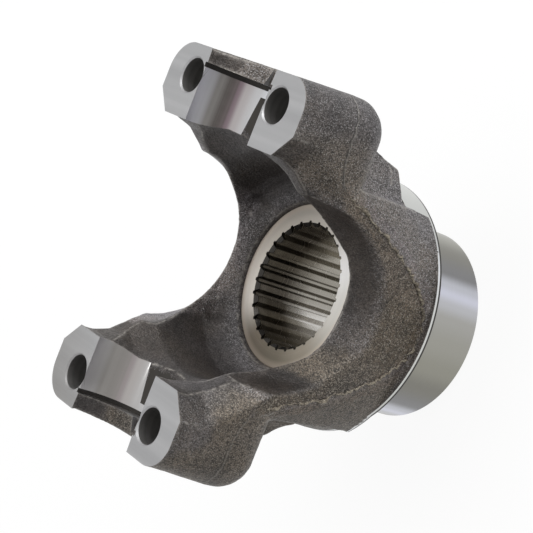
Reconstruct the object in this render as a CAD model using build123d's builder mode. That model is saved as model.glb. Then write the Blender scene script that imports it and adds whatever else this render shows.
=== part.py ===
from build123d import *
from math import atan, degrees, sqrt
import os

os.makedirs("parts", exist_ok=True)

# Forged end yoke: one forging with a splined hub, a round rim, two arms and two ears.
# The origin is at the middle of the hub's end face. +Z runs along the shaft towards the
# ears, +Y along the cross of the joint, from ear to ear. All sizes are in millimetres.

# Machined joint side
cap_dia = 30.18            # bearing cap of the cross
stop_span = 92.08          # distance between the two stops that locate the caps
centre_height = 84.8       # hub end to the cross centre, which is the plane of the pads
bolt_dia = 9.3             # four bolt holes
bolt_pitch_x = 40.0        # across one saddle
bolt_pitch_y = 83.4        # from ear to ear
bolt_chamfer = 0.4
saddle_gap = 60.6          # between the inner faces of the ears at the pads
stop_groove_width = 1.3    # relief cut beside each stop
stop_groove_depth = 0.8
lip_rise = 3.6             # height of the stop at the bottom of the saddle
lip_trough_dia = 31.0      # forged trough outboard of each stop
lip_slope = 0.3            # fall of that trough towards the outside
lip_notch_width = 7.6
lip_notch_depth = 1.0
relief_width = 16.0        # forged hollow along the bottom of the saddle, at its inner end
relief_end_width = 13.2
relief_depth = 1.6
relief_end_depth = 1.1
relief_length = 12.4

# Machined shaft side
hub_dia = 53.4
hub_length = 24.3
hub_chamfer = 0.8
neck_width = 0.7           # relief groove turned into the hub beside the rim
neck_depth = 0.6
rim_dia = 71.2
rim_thickness = 1.2
foot_turned_height = 9.2   # how far the rim's turning reaches up the feet of the arms
seat_height = 43.0         # hub end to the seat of the shaft nut
seat_dia = 45.4
seat_depth = 1.0           # how far the seat is sunk into the forged floor
spline_teeth = 29
spline_major_dia = 36.0
spline_minor_dia = 33.2
spline_chamfer = 0.9
spline_gap = 2.9           # width of a groove, measured a little inside the minor diameter
spline_run_in = 1.0        # how far inside
spline_tip = 0.7           # width of its bottom
spline_start = 178.5       # direction of the first groove, in degrees from +X

# Forged body
side_width = 66.4          # across the two flat sides where the flash was trimmed
base_top_x = 84.0          # oval cone of the base, at the flash line of the ears
base_top_y = 100.8
base_bottom_x = 67.2       # the same cone, at the rim
base_bottom_y = 77.2
base_depth = 61.0          # across the base between the flats under the ears
ear_span = 100.4           # over both ears at the pads
ear_shift = -0.3           # the forged ears sit this much off the machined centre, along Y
ear_width = 63.0           # across one ear at the pads
ear_corner = 9.6
ear_draft = 1.3            # growth of the ear from the pad to the flash line
flash_height = 66.5        # hub end to the flash line on the ears
ear_bottom = 56.8          # hub end to the underside of the ears
ear_round = 7.6
nose_width = 51.0          # across the pad's inner end, between its cut corners
nose_length = 6.2          # of the cut corner, along the pad's side
nose_bend = 77.0           # hub end to where the cut corner starts to lean outwards
nose_lean = 1.0            # how far it is out by then
nose_low = 69.5            # hub end to where it starts to run out
nose_end = 63.0            # hub end to where it has run out
nut_seat_dia = 18.0
nut_seat_depth = 0.6

rib_width = 20.8           # rib under each ear, between the two nuts
rib_foot_width = 35.6
rib_reach = 90.0           # over both ribs, at the underside of the ears
rib_face = 80.0            # over both ribs where their faces are full width
rib_low_plus = 34.0        # hub end to the lower edge of the rib, on the +Y arm
rib_end_plus = 33.5        # the same at its foot
rib_low_minus = 44.2       # the rib on the -Y arm ends higher up
rib_end_minus = 36.0

# Throat
throat_width = 48.0        # between the arms, across the window
throat_centre = 69.7       # hub end to the level where the window starts to flare
mouth_height = 81.5        # hub end to where the flare meets the ear's inner face
crest_floor = 47.7         # hub end to the window's crest over the seat
crest_half_width = 26.6    # from the middle to that crest
edge_floor = 39.6          # hub end to the window's lowest outer edge
crest_reach = 10.5         # how far the flare's surface is carried on inwards, past the crest
cavity_dia = 58.4          # round hollow between the arms, at its foot
cavity_low = 51.6          # hub end to that foot
cavity_top_dia = 60.9      # the same hollow at the flash line, where it opens out
gap_dia = 67.6             # round opening above it, which also rounds the saddles' inner ends
gap_height = 74.0          # hub end to where that opening is reached
window_belly = 1.5         # how far the flare bulges past a straight line
window_taper = 0.4         # the window is narrower inside and wider outside by this, each side
ring_crest_dia = 51.2      # raised ring around the seat
ring_crest_height = 3.5
sill_dia = 55.0            # the ring's outside, where the windows' crests stand on it
sill_height = 5.3
sill_round = 3.0
groove_dia = 54.4          # round groove between the ring and each arm
groove_height = 3.9
groove_radius = 2.0
groove_arc = 110.0         # of it under each arm, in degrees

half_cap = cap_dia / 2
half_stop = stop_span / 2
half_gap = saddle_gap / 2
half_side = side_width / 2
rim_bottom = hub_length
saddle_bottom = centre_height - half_cap
ear_rise = centre_height - flash_height
flare_slope = (crest_floor - edge_floor) / (half_side - crest_half_width)
gap_half_width = crest_half_width - crest_reach
gap_floor = crest_floor + flare_slope * crest_reach
clear = 20.0               # how far cutting solids reach past the forging
overlap = 3.0              # how far joined solids reach into each other
flare_past = 2.0           # how far the flare's cutter reaches past the side faces

# Hub with its thin turned rim
with BuildPart() as hub:
    with BuildSketch(Plane.XZ):
        with BuildLine():
            Polyline(
                (0, 0),
                (hub_dia / 2 - hub_chamfer, 0),
                (hub_dia / 2, hub_chamfer),
                (hub_dia / 2, rim_bottom - neck_width),
                (hub_dia / 2 - neck_depth, rim_bottom - neck_width),
                (hub_dia / 2 - neck_depth, rim_bottom),
                (rim_dia / 2, rim_bottom),
                (rim_dia / 2, rim_bottom + rim_thickness),
                (0, rim_bottom + rim_thickness),
                close=True,
            )
        make_face()
    revolve(axis=Axis.Z)

# Feet of the arms: the cylinder that the rim's turning leaves under each ear
with BuildPart() as feet:
    with BuildSketch(Plane.XY.offset(rim_bottom)):
        Circle(rim_dia / 2)
        Rectangle(rim_dia, base_depth - overlap, mode=Mode.SUBTRACT)
    extrude(amount=foot_turned_height)

# Base: an oval cone that widens towards the ears, cut by the trimmed sides and by the flats.
# The forging sits a little off the hub, so only its +Y foot is turned down to the rim.
with BuildPart() as base:
    with BuildSketch(Plane.XY.offset(rim_bottom)):
        Ellipse(base_bottom_x / 2, base_bottom_y / 2)
    with BuildSketch(Plane.XY.offset(flash_height)):
        Ellipse(base_top_x / 2, base_top_y / 2)
    loft()
    with BuildSketch(Plane.XY.offset(rim_bottom)):
        Rectangle(side_width, base_depth)
    extrude(amount=flash_height - rim_bottom, mode=Mode.INTERSECT)
    with BuildSketch(Plane.XY.offset(rim_bottom)):
        with Locations((0, base_depth / 2)):
            Rectangle(base_top_x, base_depth)
        Circle(rim_dia / 2, mode=Mode.SUBTRACT)
    extrude(amount=foot_turned_height, mode=Mode.SUBTRACT)

# Ear: widest at the flash line, drafted up to the pad and rounded underneath
flash_reach = ear_span / 2 + ear_draft
with BuildSketch(Plane.XY.offset(flash_height)) as ear_plan:
    with Locations((0, flash_reach / 2)):
        plan = Rectangle(ear_width + 2 * ear_draft, flash_reach)
    fillet(plan.vertices().group_by(Axis.Y)[-1], ear_corner)

with BuildPart() as ear:
    add(ear_plan.sketch)
    extrude(amount=ear_rise, taper=degrees(atan(ear_draft / ear_rise)))
    add(ear_plan.sketch)
    extrude(amount=ear_bottom - flash_height)
    under = ear.edges().group_by(Axis.Z)[0].filter_by(lambda e: e.center().Y > overlap)
    fillet(under, ear_round)


def rib(low, end, side):
    """Rib under one ear, with its lower edge at low and its foot at end; side is +1 or -1 along Y."""
    top = ear_bottom + overlap
    slope = (base_top_y - base_bottom_y) / 2 / (flash_height - rim_bottom)
    reach = rib_reach / 2 - slope * (ear_bottom - low)
    with BuildPart(mode=Mode.PRIVATE) as solid:
        with BuildSketch(Plane.YZ):
            with BuildLine():
                Polyline(
                    (0, top),
                    (side * (reach + slope * (top - low)), top),
                    (side * reach, low),
                    (side * base_depth / 2, end),
                    (0, end),
                    close=True,
                )
            make_face()
        extrude(amount=rib_foot_width / 2, both=True)
        with BuildSketch(Plane.XY.offset(rim_bottom)):
            with BuildLine():
                Polyline(
                    (-rib_foot_width / 2, 0),
                    (-rib_foot_width / 2, side * base_depth / 2),
                    (-rib_width / 2, side * rib_face / 2),
                    (-rib_width / 2, side * (rib_face / 2 + clear)),
                    (rib_width / 2, side * (rib_face / 2 + clear)),
                    (rib_width / 2, side * rib_face / 2),
                    (rib_foot_width / 2, side * base_depth / 2),
                    (rib_foot_width / 2, 0),
                    close=True,
                )
            make_face()
        extrude(amount=centre_height, mode=Mode.INTERSECT)
    return solid.part


def window(x, floor, half_width):
    """Outline of the throat's window on the plane at x: round below, flared above."""
    shoulder = (half_width + half_gap) / 2 + window_belly
    middle = (throat_centre + mouth_height) / 2 + window_belly / 2
    with BuildSketch(Plane.YZ.offset(x), mode=Mode.PRIVATE) as outline:
        with BuildLine():
            EllipticalCenterArc(
                (0, throat_centre), half_width, throat_centre - floor, start_angle=180, arc_size=180
            )
            Polyline(
                (half_width, throat_centre),
                (shoulder, middle),
                (half_gap, mouth_height),
                (half_gap, centre_height + clear),
                (-half_gap, centre_height + clear),
                (-half_gap, mouth_height),
                (-shoulder, middle),
                (-half_width, throat_centre),
            )
        make_face()
    return outline.sketch


def flare(side):
    """One side of the window, flared outwards past the trimmed side face."""
    far = half_side + flare_past
    low = edge_floor - flare_slope * flare_past
    with BuildPart(mode=Mode.PRIVATE) as solid:
        add(window(side * gap_half_width, gap_floor, throat_width / 2 - window_taper))
        add(window(side * far, low, throat_width / 2 + window_taper))
        loft(ruled=True)
    return solid.part


def trough(y, rise):
    """Round outline on the plane at y whose lowest point is rise above the saddle's bottom."""
    with BuildSketch(Plane.XZ.offset(-y), mode=Mode.PRIVATE) as outline:
        with Locations((0, saddle_bottom + rise + lip_trough_dia / 2)):
            Circle(lip_trough_dia / 2)
    return outline.sketch


def hollow(half_width, depth, y):
    """Round outline that cuts depth below the saddle's bottom and half_width to each side."""
    sagitta = depth + half_cap - sqrt(half_cap**2 - half_width**2)
    radius = (half_width**2 + sagitta**2) / (2 * sagitta)
    with BuildSketch(Plane.XZ.offset(-y), mode=Mode.PRIVATE) as outline:
        with Locations((0, saddle_bottom - depth + radius)):
            Circle(radius)
    return outline.sketch


def cut_corner(height, start):
    """Outline at one height of what is cut from the ear's inner corner, from x = start outwards."""
    slope = nose_length / ((ear_width - nose_width) / 2)
    end = base_top_x / 2 + overlap
    with BuildSketch(Plane.XY.offset(height), mode=Mode.PRIVATE) as outline:
        with BuildLine():
            Polyline(
                (start - half_gap / slope, 0),
                (end, 0),
                (end, half_gap + slope * (end - start)),
                close=True,
            )
        make_face()
    return outline.sketch


# Hollow between the arms: a round well with the nut seat, its raised ring and the valley
with BuildPart() as well:
    with BuildSketch(Plane.XZ) as well_outline:
        with BuildLine():
            Polyline(
                (0, seat_height),
                (seat_dia / 2, seat_height),
                (seat_dia / 2, seat_height + seat_depth),
                (ring_crest_dia / 2, seat_height + ring_crest_height),
                (sill_dia / 2, seat_height + sill_height),
                (cavity_dia / 2, cavity_low),
                (cavity_top_dia / 2, flash_height),
                (gap_dia / 2, gap_height),
                (gap_dia / 2, centre_height + clear),
                (0, centre_height + clear),
                close=True,
            )
        make_face()
        feet_of_wall = (sill_dia, cavity_dia)
        fillet(well_outline.vertices().filter_by(lambda v: round(2 * v.X, 1) in feet_of_wall), sill_round)
    revolve(axis=Axis.Z)

# Groove between the ring and one arm, with round ends
with BuildPart() as groove:
    with BuildSketch(Plane.XZ):
        with Locations((groove_dia / 2, seat_height + groove_height)):
            Circle(groove_radius)
    revolve(axis=Axis.Z, revolution_arc=groove_arc)
    with Locations((0, 0, seat_height + groove_height)):
        with PolarLocations(groove_dia / 2, 2, start_angle=0, angular_range=groove_arc, endpoint=True):
            Sphere(groove_radius)

# Splined bore: rounded grooves around the minor diameter, opened by a chamfer
with BuildPart() as bore:
    with BuildSketch(Plane.XY.offset(-clear)):
        Circle(spline_minor_dia / 2)
        with PolarLocations(0, spline_teeth, start_angle=spline_start):
            Polygon(
                (spline_minor_dia / 2 - spline_run_in, -spline_gap / 2),
                (spline_major_dia / 2, -spline_tip / 2),
                (spline_major_dia / 2, spline_tip / 2),
                (spline_minor_dia / 2 - spline_run_in, spline_gap / 2),
                align=None,
            )
    extrude(amount=seat_height + 2 * clear)
    with BuildSketch(Plane.XZ):
        with BuildLine():
            Polyline(
                (0, seat_height - spline_chamfer),
                (spline_minor_dia / 2, seat_height - spline_chamfer),
                (spline_minor_dia / 2 + spline_chamfer, seat_height),
                (spline_minor_dia / 2 + spline_chamfer, seat_height + clear),
                (0, seat_height + clear),
                close=True,
            )
        make_face()
    revolve(axis=Axis.Z)
    with BuildSketch(Plane.XZ):
        with BuildLine():
            Polyline(
                (0, -clear),
                (spline_major_dia / 2 + spline_chamfer, -clear),
                (spline_major_dia / 2 + spline_chamfer, 0),
                (spline_major_dia / 2 - spline_chamfer, 2 * spline_chamfer),
                (0, 2 * spline_chamfer),
                close=True,
            )
        make_face()
    revolve(axis=Axis.Z)

# Cut corners at the inner ends of the pads, which run out a little above the flash line
with BuildPart() as corner_cut:
    add(cut_corner(nose_end, half_side + nose_length))
    add(cut_corner(nose_low, half_side - nose_lean))
    add(cut_corner(nose_bend, nose_width / 2 + nose_lean))
    add(cut_corner(centre_height + overlap, nose_width / 2))
    loft(ruled=True)
    mirror(about=Plane.XZ)
    mirror(about=Plane.YZ)

with BuildPart() as yoke:
    add(hub.part)
    add(feet.part)
    add(base.part)
    add(ear.part.moved(Location((0, ear_shift, 0))))
    add(ear.part.rotate(Axis.Z, 180).moved(Location((0, ear_shift, 0))))
    add(rib(rib_low_plus, rib_end_plus, 1))
    add(rib(rib_low_minus, rib_end_minus, -1))

    # Hollow between the arms and the window through them
    add(well.part, mode=Mode.SUBTRACT)
    add(groove.part.rotate(Axis.Z, 90 - groove_arc / 2), mode=Mode.SUBTRACT)
    add(groove.part.rotate(Axis.Z, 270 - groove_arc / 2), mode=Mode.SUBTRACT)
    add(window(-gap_half_width, gap_floor, throat_width / 2 - window_taper))
    extrude(amount=2 * gap_half_width, dir=(1, 0, 0), mode=Mode.SUBTRACT)
    add(flare(1), mode=Mode.SUBTRACT)
    add(flare(-1), mode=Mode.SUBTRACT)

    # Splined bore through the hub
    add(bore.part, mode=Mode.SUBTRACT)

    # Saddles for the bearing caps, with the relief cut at each stop
    cross = Plane.XZ.offset(-half_stop)
    with BuildSketch(cross):
        with Locations((0, centre_height)):
            Circle(half_cap)
    extrude(amount=stop_span, mode=Mode.SUBTRACT)
    for side in (1, -1):
        with BuildSketch(Plane.XZ.offset(-side * half_stop)):
            with Locations((0, centre_height)):
                Circle(half_cap + stop_groove_depth)
        extrude(amount=side * stop_groove_width, mode=Mode.SUBTRACT)
        # Forged trough over the stop, and the small milled notch in it
        with BuildSketch(Plane.XZ.offset(-side * half_stop)):
            with Locations((0, saddle_bottom + lip_rise - lip_notch_depth + lip_rise)):
                Rectangle(lip_notch_width, 2 * lip_rise)
        extrude(amount=-side * clear, mode=Mode.SUBTRACT)
        add(trough(side * half_stop, lip_rise))
        add(trough(side * (half_stop + clear), lip_rise - lip_slope * clear))
        loft(mode=Mode.SUBTRACT)
        # Forged hollow along the bottom of the saddle, open to the gap
        add(hollow(relief_width / 2, relief_depth, side * half_gap))
        add(hollow(relief_end_width / 2, relief_end_depth, side * (half_gap + relief_length)))
        loft(mode=Mode.SUBTRACT)

    add(corner_cut.part, mode=Mode.SUBTRACT)

    # Bolt holes through the ears and the nut seats milled under them
    with BuildSketch(Plane.XY.offset(ear_bottom - clear)):
        with GridLocations(bolt_pitch_x, bolt_pitch_y, 2, 2):
            Circle(bolt_dia / 2)
    extrude(amount=centre_height, mode=Mode.SUBTRACT)
    with BuildSketch(Plane.XY.offset(ear_bottom + nut_seat_depth)):
        with GridLocations(bolt_pitch_x, bolt_pitch_y, 2, 2):
            Circle(nut_seat_dia / 2)
    extrude(amount=-clear, mode=Mode.SUBTRACT)
    with Locations((0, 0, centre_height - bolt_chamfer / 2)):
        with GridLocations(bolt_pitch_x, bolt_pitch_y, 2, 2):
            Cone(bolt_dia / 2, bolt_dia / 2 + bolt_chamfer, bolt_chamfer, mode=Mode.SUBTRACT)

yoke.part.label = "yoke"
export_step(yoke.part, "parts/yoke.step")
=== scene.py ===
import math
from types import SimpleNamespace as Setup

import bmesh
import bpy
import numpy as np
from mathutils import Matrix, Vector


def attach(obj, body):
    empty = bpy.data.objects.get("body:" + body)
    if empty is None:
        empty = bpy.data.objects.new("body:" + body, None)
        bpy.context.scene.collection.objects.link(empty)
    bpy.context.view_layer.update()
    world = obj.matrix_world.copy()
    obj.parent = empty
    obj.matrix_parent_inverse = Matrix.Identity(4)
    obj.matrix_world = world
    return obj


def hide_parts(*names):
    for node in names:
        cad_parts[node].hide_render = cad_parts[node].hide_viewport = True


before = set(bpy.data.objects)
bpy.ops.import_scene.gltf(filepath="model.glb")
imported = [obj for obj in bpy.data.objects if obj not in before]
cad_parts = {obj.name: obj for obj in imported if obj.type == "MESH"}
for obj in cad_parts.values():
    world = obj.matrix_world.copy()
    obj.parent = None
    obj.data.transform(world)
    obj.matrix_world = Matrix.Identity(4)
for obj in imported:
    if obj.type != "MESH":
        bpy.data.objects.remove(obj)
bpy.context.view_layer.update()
print("frame loaded")

# camera at the photo's viewing angle: place in metres, right and up directions, focal length in pixels
cameraSetup = Setup(
    place=(0.3387, 0.0350, 0.3090), right=(0.5355, 0.3692, -0.7596), up=(-0.2795, 0.9262, 0.2531),
    focalPixels=1622.25, imagePixels=533, sensorWidth=36.0, clipStart=0.01)


def addCamera(setup):
    right = Vector(setup.right).normalized()
    back = right.cross(Vector(setup.up)).normalized()
    up = back.cross(right)
    data = bpy.data.cameras.new("camera")
    data.sensor_width = setup.sensorWidth
    data.lens = setup.focalPixels / setup.imagePixels * data.sensor_width
    data.clip_start = setup.clipStart
    camera = bpy.data.objects.new("camera", data)
    bpy.context.collection.objects.link(camera)
    turn = Matrix((right, up, back)).transposed().to_4x4()
    camera.matrix_world = Matrix.Translation(setup.place) @ turn
    bpy.context.scene.camera = camera


addCamera(cameraSetup)
bpy.context.scene.view_settings.view_transform = "Standard"

# lights: soft panels around the part, each with its place, size and power, all pointing at the target
lightSetup = {
    "top": Setup(place=(-0.28, 0.12, 0.80), size=0.8, power=7.0, glossy=False),
    "back": Setup(place=(-0.70, -0.10, 0.45), size=0.6, power=1.5, glossy=False),
    "side": Setup(place=(0.22, 0.75, 0.35), size=0.5, power=5.0, glossy=True),
}
lightTarget = Vector((0.0, 0.0, 0.045))


def addLight(name, values):
    data = bpy.data.lights.new(name, "AREA")
    data.size = values.size
    data.energy = values.power
    lamp = bpy.data.objects.new(name, data)
    bpy.context.collection.objects.link(lamp)
    lamp.location = values.place
    lamp.visible_glossy = values.glossy
    lamp.rotation_euler = (lightTarget - lamp.location).to_track_quat("-Z", "Y").to_euler()


for lightName, lightValues in lightSetup.items():
    addLight(lightName, lightValues)


class NodeBuilder:
    # short helper around one node tree: adds nodes and joins them
    def __init__(self, tree):
        self.tree = tree

    def node(self, kind, **values):
        made = self.tree.nodes.new(kind)
        for key, value in values.items():
            setattr(made, key, value)
        return made

    def link(self, source, target):
        self.tree.links.new(source, target)

    def put(self, socket, value):
        # a node socket is linked, a plain value is set; colours are given without their alpha
        if isinstance(value, bpy.types.NodeSocket):
            self.link(value, socket)
        else:
            socket.default_value = (*value, 1.0) if socket.type == "RGBA" else value

    def fill(self, made, inputs):
        for key, value in inputs.items():
            self.put(made.inputs[key], value)
        return made.outputs

    def math(self, operation, first, second=0.0, clamp=False):
        made = self.node("ShaderNodeMath", operation=operation, use_clamp=clamp)
        return self.fill(made, {0: first, 1: second})[0]

    def product(self, first, second, clamp=False):
        return self.math("MULTIPLY", first, second, clamp)

    def weighted(self, first, firstShare, second, secondShare):
        return self.math("ADD", self.product(first, firstShare), self.product(second, secondShare))

    def noise(self, vector, scale, detail=2.0, rough=0.5):
        inputs = {"Vector": vector, "Scale": scale, "Detail": detail, "Roughness": rough}
        return self.fill(self.node("ShaderNodeTexNoise"), inputs)[0]

    def stretch(self, value, low, high, first=0.0, last=1.0):
        # value from low..high is spread over first..last and kept inside it
        inputs = {"Value": value, "From Min": low, "From Max": high, "To Min": first, "To Max": last}
        return self.fill(self.node("ShaderNodeMapRange"), inputs)["Result"]

    def blend(self, factor, first, second, kind="MIX"):
        made = self.node("ShaderNodeMix", data_type="RGBA", blend_type=kind)
        return self.fill(made, {"Factor": factor, "A": first, "B": second})["Result"]

    def times(self, first, second):
        return self.blend(1.0, first, second, "MULTIPLY")

    def ramp(self, value, stops):
        # soft colour bands: stops are (place from 0 to 1, colour)
        made = self.node("ShaderNodeValToRGB")
        made.color_ramp.interpolation = "EASE"
        while len(made.color_ramp.elements) < len(stops):
            made.color_ramp.elements.new(0.5)
        for element, (place, colour) in zip(made.color_ramp.elements, stops):
            element.position = place
            element.color = (*colour, 1.0)
        return self.fill(made, {0: value})["Color"]

    def group(self, tree, inputs):
        return self.fill(self.node("ShaderNodeGroup", node_tree=tree), inputs)

    def attribute(self, name):
        return self.node("ShaderNodeAttribute", attribute_name=name).outputs["Fac"]

    def coordinates(self, vector):
        return self.fill(self.node("ShaderNodeSeparateXYZ"), {0: vector})

    def line(self, value):
        # a vector with the value as x, for noise that changes along one direction only
        return self.fill(self.node("ShaderNodeCombineXYZ"), {0: value})[0]

    def grey(self, value):
        return self.fill(self.node("ShaderNodeCombineColor"), {0: value, 1: value, 2: value})[0]


# shared effects, each a node group built once
def newGroup(name, inputs, outputs):
    # inputs maps each name to its default, a vector or a number; every output is a number
    tree = bpy.data.node_groups.new(name, "ShaderNodeTree")
    for label, default in inputs.items():
        kind = "NodeSocketVector" if isinstance(default, tuple) else "NodeSocketFloat"
        tree.interface.new_socket(label, in_out="INPUT", socket_type=kind).default_value = default
    for label in outputs:
        tree.interface.new_socket(label, in_out="OUTPUT", socket_type="NodeSocketFloat")
    build = NodeBuilder(tree)
    return tree, build, build.node("NodeGroupInput").outputs, build.node("NodeGroupOutput").inputs


# noise scales are against one over the grain size, patches and tint against a metre; each range is
# the part of the noise that is spread over 0..1
grainSetup = Setup(
    fineRough=0.7, fineShare=0.7, coarseScale=0.4, coarseRough=0.6, coarseShare=0.3,
    grainRange=(0.4, 0.6), fleckScale=1.3, fleckRange=(0.55, 0.7), pitScale=0.55, pitRange=(0.0, 0.6),
    toneHeight=0.75, pitHeight=0.35, patchScale=140.0, patchRange=(0.35, 0.65), tintScale=45.0,
    tintRange=(0.38, 0.62))


def forgeGrainGroup(values):
    # grain of a blasted forging: fine grain, bright flecks that are partly painted glints, broad tones and
    # a height, from Object coordinates in metres
    tree, build, into, out = newGroup("forgeGrain", {"Vector": (0, 0, 0), "Grain Size": 0.0005},
                                      ("Grain", "Flecks", "Patches", "Tint", "Height"))
    vector = into["Vector"]
    scale = build.math("DIVIDE", 1.0, into["Grain Size"])
    fine = build.noise(vector, scale, 2.0, values.fineRough)
    coarse = build.noise(vector, build.product(scale, values.coarseScale), 2.0, values.coarseRough)
    flecks = build.noise(vector, build.product(scale, values.fleckScale), 1.0)
    pits = build.fill(build.node("ShaderNodeTexVoronoi", feature="F1"),
                      {"Vector": vector, "Scale": build.product(scale, values.pitScale)})
    pitDepth = build.stretch(pits["Distance"], *values.pitRange)
    patches = build.noise(vector, values.patchScale, 4.0, 0.6)
    tint = build.noise(vector, values.tintScale, 3.0, 0.55)
    mixed = build.weighted(fine, values.fineShare, coarse, values.coarseShare)
    build.link(build.stretch(mixed, *values.grainRange), out["Grain"])
    build.link(build.stretch(flecks, *values.fleckRange), out["Flecks"])
    build.link(build.stretch(patches, *values.patchRange), out["Patches"])
    build.link(build.stretch(tint, *values.tintRange), out["Tint"])
    build.link(build.weighted(mixed, values.toneHeight, pitDepth, values.pitHeight), out["Height"])
    return tree


wearGlintSetup = Setup(breakScale=700.0, breakRange=(0.38, 0.58), narrowing=2.0)


def edgeWearGlintGroup(values):
    # bright wear and painted edge highlight where the piece's wear and glint attribute is high, broken up
    # by noise
    tree, build, into, out = newGroup("edgeWearGlint", {"Vector": (0, 0, 0), "Amount": 1.0}, ("Mask",))
    broken = build.noise(into["Vector"], values.breakScale, 3.0, 0.6)
    narrow = build.math("POWER", build.attribute("wear"), values.narrowing)
    mask = build.product(narrow, build.stretch(broken, *values.breakRange))
    build.link(build.product(mask, into["Amount"], clamp=True), out["Mask"])
    return tree


marksSetup = Setup(bandScale=260.0, scuffScale=500.0, lineShare=0.85, scuffShare=0.15)


def toolMarksGroup(values):
    # marks of a cutting tool: Along is the coordinate across the marks, in metres
    tree, build, into, out = newGroup("toolMarks", {"Along": 0.0, "Vector": (0, 0, 0), "Pitch": 0.0004},
                                      ("Marks", "Bands"))
    fine = build.line(build.math("DIVIDE", into["Along"], into["Pitch"]))
    wide = build.line(build.product(into["Along"], values.bandScale))
    lines = build.noise(fine, 1.0, 3.0, 0.7)
    scuff = build.noise(into["Vector"], values.scuffScale)
    build.link(build.weighted(lines, values.lineShare, scuff, values.scuffShare), out["Marks"])
    build.link(build.noise(wide, 1.0), out["Bands"])
    return tree


# the line's height, width, dark line and wobble, and the distances from the middle plane between which
# it falls and where it starts, all in metres
seamSetup = Setup(
    level=0.0687, width=0.00032, shadowShift=0.00045, wobble=0.0012, wobbleScale=600.0,
    fallRange=(0.028, 0.040), fallDepth=0.0034, startRange=(0.0285, 0.0295))


def flashSeamGroup(values):
    # parting line over the ears: a thin crest with a painted shadow as a dark line above it, falling toward
    # the middle
    inputs = {"Vector": (0, 0, 0), "Level": values.level, "Width": values.width}
    tree, build, into, out = newGroup("flashSeam", inputs, ("Crest", "Shadow"))
    place = build.coordinates(into["Vector"])
    away = build.math("ABSOLUTE", place["Y"])
    fall = build.stretch(away, *values.fallRange, 1.0, 0.0)
    fall = build.product(build.product(fall, fall), values.fallDepth)
    wobble = build.math("SUBTRACT", build.noise(into["Vector"], values.wobbleScale), 0.5)
    above = build.math("ADD", build.math("SUBTRACT", place["Z"], into["Level"]), fall)
    above = build.math("ADD", above, build.product(wobble, values.wobble))
    onEar = build.stretch(away, *values.startRange)
    for label, shift in (("Crest", 0.0), ("Shadow", values.shadowShift)):
        near = build.math("ABSOLUTE", build.math("SUBTRACT", above, shift))
        share = build.math("SUBTRACT", 1.0, build.math("DIVIDE", near, into["Width"]), clamp=True)
        build.link(build.product(share, onEar), out[label])
    return tree


forgeGrain = forgeGrainGroup(grainSetup)
edgeWearGlint = edgeWearGlintGroup(wearGlintSetup)
toolMarks = toolMarksGroup(marksSetup)
flashSeam = flashSeamGroup(seamSetup)
print("node groups built")


def startMaterial(name):
    material = bpy.data.materials.new(name)
    material.use_nodes = True
    build = NodeBuilder(material.node_tree)
    shader = material.node_tree.nodes["Principled BSDF"]
    coords = build.node("ShaderNodeTexCoord").outputs["Object"]
    return material, build, shader, coords


def finishShader(build, shader, values, colour, rough, height, distance):
    bump = {"Strength": values.bump, "Distance": distance, "Height": height}
    normal = build.fill(build.node("ShaderNodeBump"), bump)["Normal"]
    build.fill(shader, {"Base Color": colour, "Metallic": values.metallic, "Roughness": rough,
                        "Normal": normal})


def forgedMaterial(name, values):
    # dark forging skin in three palettes, chosen by the inner and trim masks: tones, speckle, worn edges;
    # the inner palette is a darker copy that paints shade in the hollows
    material, build, shader, coords = startMaterial(name)
    grain = build.group(forgeGrain, {"Vector": coords, "Grain Size": values.grain})
    wornGlint = build.group(edgeWearGlint, {"Vector": coords, "Amount": values.wear})
    seam = build.group(flashSeam, {"Vector": coords})
    inner, trim, draft, paintedShade = (build.attribute(label) for label in ("inner", "trim", "draft", "paintedShade"))

    def chosen(key):
        first = build.blend(inner, getattr(values.outside, key), getattr(values.inner, key))
        return build.blend(trim, first, getattr(values.trim, key))

    colour = build.blend(grain["Grain"], chosen("dark"), chosen("light"))
    colour = build.times(colour, build.blend(grain["Tint"], values.tintWarm, values.tintCool))
    # the draft mask tints the colour; the shade mask darkens it by its tint as painted shade
    for mask, tint in ((draft, values.draftTint), (paintedShade, values.sootTint)):
        colour = build.blend(mask, colour, build.times(colour, tint))
    shade = build.stretch(grain["Patches"], 0.0, 1.0, values.patchLow, values.patchHigh)
    colour = build.times(colour, build.grey(shade))
    # the painted shade also hides most of the flecks
    outOfShade = build.math("SUBTRACT", 1.0, build.product(paintedShade, values.sootCover))
    # the flecks, partly painted glints, are fewer on the inner walls
    share = build.stretch(inner, 0.0, 1.0, values.outside.fleckShare, values.inner.fleckShare)
    share = build.product(grain["Flecks"], build.product(share, outOfShade))
    colour = build.blend(share, colour, chosen("fleck"))
    # the parting line over the ears shows only on the outside; its crest is lightened with the worn colour,
    # partly a painted highlight
    outside = build.math("SUBTRACT", 1.0, inner, clamp=True)
    crest = build.product(seam["Crest"], outside)
    shadow = build.product(build.product(seam["Shadow"], outside), values.seamDark)
    colour = build.blend(shadow, colour, values.outside.dark)
    colour = build.blend(build.product(crest, values.seamLight), colour, values.wornColour)
    # worn edges are lightened as wear and as painted edge highlights
    colour = build.blend(wornGlint["Mask"], colour, values.wornColour)
    low, high = values.rough - values.roughSpread, values.rough + values.roughSpread
    rough = build.stretch(grain["Grain"], 0.0, 1.0, high, low)
    height = build.math("ADD", grain["Height"], build.product(crest, values.seamHeight))
    finishShader(build, shader, values, colour, rough, height, values.grain * values.bumpDepth)
    return material
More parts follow.
